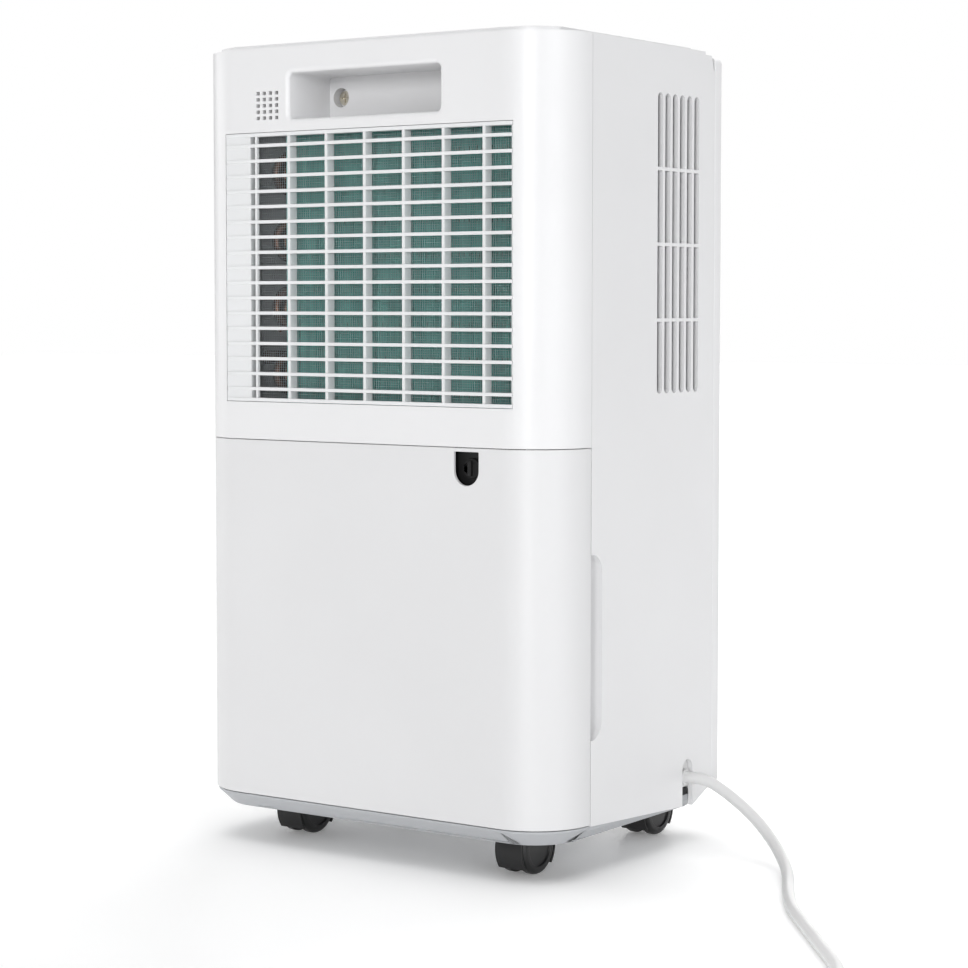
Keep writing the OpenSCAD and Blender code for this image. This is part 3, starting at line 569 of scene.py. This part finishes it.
def make_fins(node, slot, seed):
    """The separate sheets of a heat exchanger."""
    low, high = (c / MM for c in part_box(node))
    chance = random.Random(seed)
    shape = Shape()
    count = int((high.x - low.x - 1.0) / FIN_PITCH)
    for i in range(count + 1):
        x = low.x + 0.6 + i * (high.x - low.x - 1.2) / count
        fin(shape, x, low.y, high.y - 0.05, low.z, high.z, chance)
    name = node + "_sheets"
    piece(name, shape.mesh(name, smooth=False), slot, "cabinet", node)


def make_coil(fins, node, plate_slot):
    """Copper tubes through the fins with soldered return bends, and the two end plates."""
    low, high = (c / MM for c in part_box(fins))
    rows = [low.z + FIRST_ROW + i * ROW_PITCH for i in range(TUBE_ROWS)]
    tubes = Shape()
    arc = [math.radians(-90 + 15 * k) for k in range(13)]
    for y in (low.y + ROW_INSET, high.y - ROW_INSET):
        for z in rows:
            tubes.tube([Vector((x, y, z)) for x in (low.x - 3, low.x, high.x, high.x + 3)], TUBE_R)
        for first, side, x in ((0, 1, high.x), (1, -1, low.x)):
            for i in range(first, TUBE_ROWS - 1, 2):
                middle = (rows[i] + rows[i + 1]) / 2
                path = [Vector((x + side, y, middle - ROW_PITCH / 2))]
                path += [Vector((x + side * (STUB + ROW_PITCH / 2 * math.cos(a)), y,
                                 middle + ROW_PITCH / 2 * math.sin(a))) for a in arc]
                path.append(Vector((x + side, y, middle + ROW_PITCH / 2)))
                tubes.tube(path, TUBE_R - 0.2)
                # soldered sockets
                for z in (rows[i], rows[i + 1]):
                    tubes.tube([Vector((x + side * d, y, z)) for d in (0.5, 2.2, 4.6, 5.4)],
                               [TUBE_R + 0.5, TUBE_R + 0.45, TUBE_R + 0.4, TUBE_R - 0.15])
        # closed ends of the first and last tube
        for z in (rows[0], rows[-1]):
            tubes.tube([Vector((x, y, z)) for x in (low.x - 8, low.x - 7.4, low.x - 1)],
                       [TUBE_R - 0.5, TUBE_R, TUBE_R])
    piece(node + "_copper", tubes.mesh(node + "_copper"), "copper", "cabinet", node)
    plates = Shape()
    for x, side in ((low.x, -1), (high.x, 1)):
        outer = x + side * 2
        a, b = min(x, outer), max(x, outer)
        plates.block(Vector((a, low.y - 1, low.z)), Vector((b - 0.8, high.y + 1, high.z)))
        # turned-over edges that stiffen the plate
        for y in (low.y - 1, high.y + 0.2):
            plates.block(Vector((a, y, low.z)), Vector((b, y + 0.8, high.z)))
    piece(node + "_plates", plates.mesh(node + "_plates", smooth=False), plate_slot, "cabinet")


NET_PITCH = 1.5
STRAND = 0.06           # half the thickness of a strand


def make_net():
    """Woven filter net: upright strands, with level ones lying on them."""
    low, high = (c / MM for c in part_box("filter_mesh"))
    shape = Shape()
    middle = high.y - 0.4
    x = low.x + NET_PITCH / 2
    while x < high.x:
        shape.block(Vector((x - STRAND, middle - STRAND, low.z)),
                    Vector((x + STRAND, middle + STRAND, high.z)))
        x += NET_PITCH
    z = low.z + NET_PITCH / 2
    while z < high.z:
        shape.block(Vector((low.x, middle + 0.5 * STRAND, z - STRAND)),
                    Vector((high.x, middle + 2.5 * STRAND, z + STRAND)))
        z += NET_PITCH
    piece("filter_net", shape.mesh("filter_net", smooth=False), "filter_net", "filter",
          "filter_mesh")


make_fins("evaporator_fins", "fin_teal", 11)
make_fins("condenser_fins", "fin_bare", 12)
make_coil("evaporator_fins", "evaporator_tubes", "fin_teal")
make_coil("condenser_fins", "condenser_tubes", "fin_bare")
make_net()


# ---------- finger grips ----------

GRIP_FRONT, GRIP_END = 43.1, 54.4       # in y
GRIP_LOW, GRIP_HIGH = 81, 190.4         # in z
GRIP_R = 11
LINING_T = 1.2
# distance from the cabinet's middle, and how far the wall has come in there
GRIP_DEPTHS = ((134, 0), (133, 0.1), (132, 0.35), (131, 0.8), (130, 1.5), (129.4, 2.1))


def grip_outline(inset):
    """The grip's edge in y and z, from its lower end round the front to its upper end."""
    y, low, high = GRIP_FRONT + GRIP_R, GRIP_LOW + GRIP_R, GRIP_HIGH - GRIP_R
    r = GRIP_R - inset
    turn = [math.radians(9 * k) for k in range(11)]
    return ([(GRIP_END, low - r)]
            + [(y - r * math.sin(a), low - r * math.cos(a)) for a in turn]
            + [(y - r * math.cos(a), high + r * math.sin(a)) for a in turn]
            + [(GRIP_END, high + r)])


def make_grip_lining(name, side):
    """Curved wall of a finger grip, from the housing's cut edge in towards the tank."""
    shape = Shape()
    shape.loft([[Vector((side * x, y, z)) * MM
                 for y, z in grip_outline(inset) + grip_outline(-LINING_T)[::-1]]
                for x, inset in GRIP_DEPTHS])
    lining = piece(name, shape.mesh(name), "shell_white", "cabinet")
    split = lining.modifiers.new("split", "EDGE_SPLIT")
    split.split_angle = CORNER


make_grip_lining("grip_lining_right", -1)
make_grip_lining("grip_lining_left", 1)


# ---------- stage ----------

def make_floor():
    """A pale floor that runs to the horizon, just under the lead and the wheels."""
    mesh = mesh_from("floor", [(-12, -12, 0), (12, -12, 0), (12, 12, 0), (-12, 12, 0)],
                     [(0, 1, 2, 3)])
    floor = bpy.data.objects.new("floor", mesh)
    floor.location.z = -0.0002
    scene.collection.objects.link(floor)
    kit = Kit("floor_pale")
    kit.shader.inputs["Emission Color"].default_value = (1, 1, 1, 1)
    kit.shader.inputs["Emission Strength"].default_value = 0.12
    tone = kit.mix(kit.noise(1.5, 2), linear((253, 253, 253)), linear((255, 255, 255)))
    mesh.materials.append(kit.finish(tone, kit.ramp(kit.noise(14, 2), 0.3, 0.7, 0.5, 0.6)))


def soft_sun(name, azimuth, elevation, share, spread, colour=(1, 1, 1)):
    """A broad distant light; share is what it adds to a white face turned to it."""
    data = bpy.data.lights.new(name, "SUN")
    data.energy = share * math.pi
    data.angle = math.radians(spread)
    data.color = colour
    sun = bpy.data.objects.new(name, data)
    a, e = math.radians(azimuth), math.radians(elevation)
    towards = Vector((math.sin(a) * math.cos(e), -math.cos(a) * math.cos(e), math.sin(e)))
    sun.rotation_mode = "QUATERNION"
    sun.rotation_quaternion = (-towards).to_track_quat("-Z", "Y")
    scene.collection.objects.link(sun)


def make_lights():
    """A white room, dimmer as a light than as a backdrop, with broad lamps on every side."""
    world = bpy.data.worlds.new("studio")
    world.use_nodes = True
    tree = world.node_tree
    sky = tree.nodes["Background"]
    sky.inputs["Color"].default_value = (1, 1, 1, 1)
    sky.inputs["Strength"].default_value = 0.16
    backdrop = tree.nodes.new("ShaderNodeBackground")
    backdrop.inputs["Color"].default_value = (1, 1, 1, 1)
    path = tree.nodes.new("ShaderNodeLightPath")
    pick = tree.nodes.new("ShaderNodeMixShader")
    tree.links.new(path.outputs["Is Camera Ray"], pick.inputs[0])
    tree.links.new(sky.outputs[0], pick.inputs[1])
    tree.links.new(backdrop.outputs[0], pick.inputs[2])
    tree.links.new(pick.outputs[0], tree.nodes["World Output"].inputs["Surface"])
    scene.world = world
    soft_sun("key", -160, 8, 0.37, 14)
    soft_sun("side", -112, 12, 0.33, 40, (0.975, 0.985, 1.0))
    soft_sun("front", 12, 20, 0.33, 45)
    soft_sun("far_side", 95, 20, 0.33, 45)
    soft_sun("overhead", 0, 85, 0.50, 60)
    scene.view_settings.view_transform = "Standard"


make_floor()
make_lights()


# ---------- housing and the other CAD nodes ----------

# bevel width in millimetres of nodes that differ from the usual one; 0 leaves corners sharp
EDGES = {"front_housing": 0, "rear_cover": 0, "capillary_tube": 0, "refrigerant_pipes": 0,
         "control_board": 0.15, "base_screws": 0.15, "handle_screw": 0.12, "fan_wheel": 0.2,
         "filter_frame": 0.18, "cord_bush": 0.15, "float_pin": 0.1, "terminal_cover": 0.2,
         "plug_pins": 0.15, "tank": 0.5, "top_cover": 0.4, "front_panel": 0.5}
EDGES.update({f"caster_axle_{n}": 0.1 for n in range(1, 5)})
USUAL_EDGE = 0.3
# nodes with holes in flat faces that would close if the faces were merged
PIERCED = ("filter_frame", "cord_bush")


def dress(name):
    """Gives a node its material and rounds its corners, or leaves them sharp."""
    obj = nodes[name]
    for face in obj.data.polygons:
        face.use_smooth = True
    for holder in obj.material_slots:
        holder.material = MATERIALS[holder.material.name]
    weld = obj.modifiers.new("weld", "WELD")
    weld.merge_threshold = 0.01 * MM
    width = EDGES.get(name, USUAL_EDGE)
    if not width:
        split = obj.modifiers.new("split", "EDGE_SPLIT")
        split.split_angle = CORNER
        split.use_edge_sharp = False
    elif name not in PIERCED:
        flat = obj.modifiers.new("flat", "DECIMATE")
        flat.decimate_type = "DISSOLVE"
        flat.angle_limit = FLAT
    if width:
        bevel = obj.modifiers.new("edges", "BEVEL")
        bevel.width = width * MM
        bevel.segments = 2
        bevel.limit_method = "ANGLE"
        bevel.angle_limit = CORNER
        bevel.use_clamp_overlap = False
        bevel.miter_outer = "MITER_ARC"
    normals = obj.modifiers.new("normals", "WEIGHTED_NORMAL")
    normals.mode = "FACE_AREA"
    normals.weight = 50


for node_name in nodes:
    if not nodes[node_name].hide_render:
        dress(node_name)
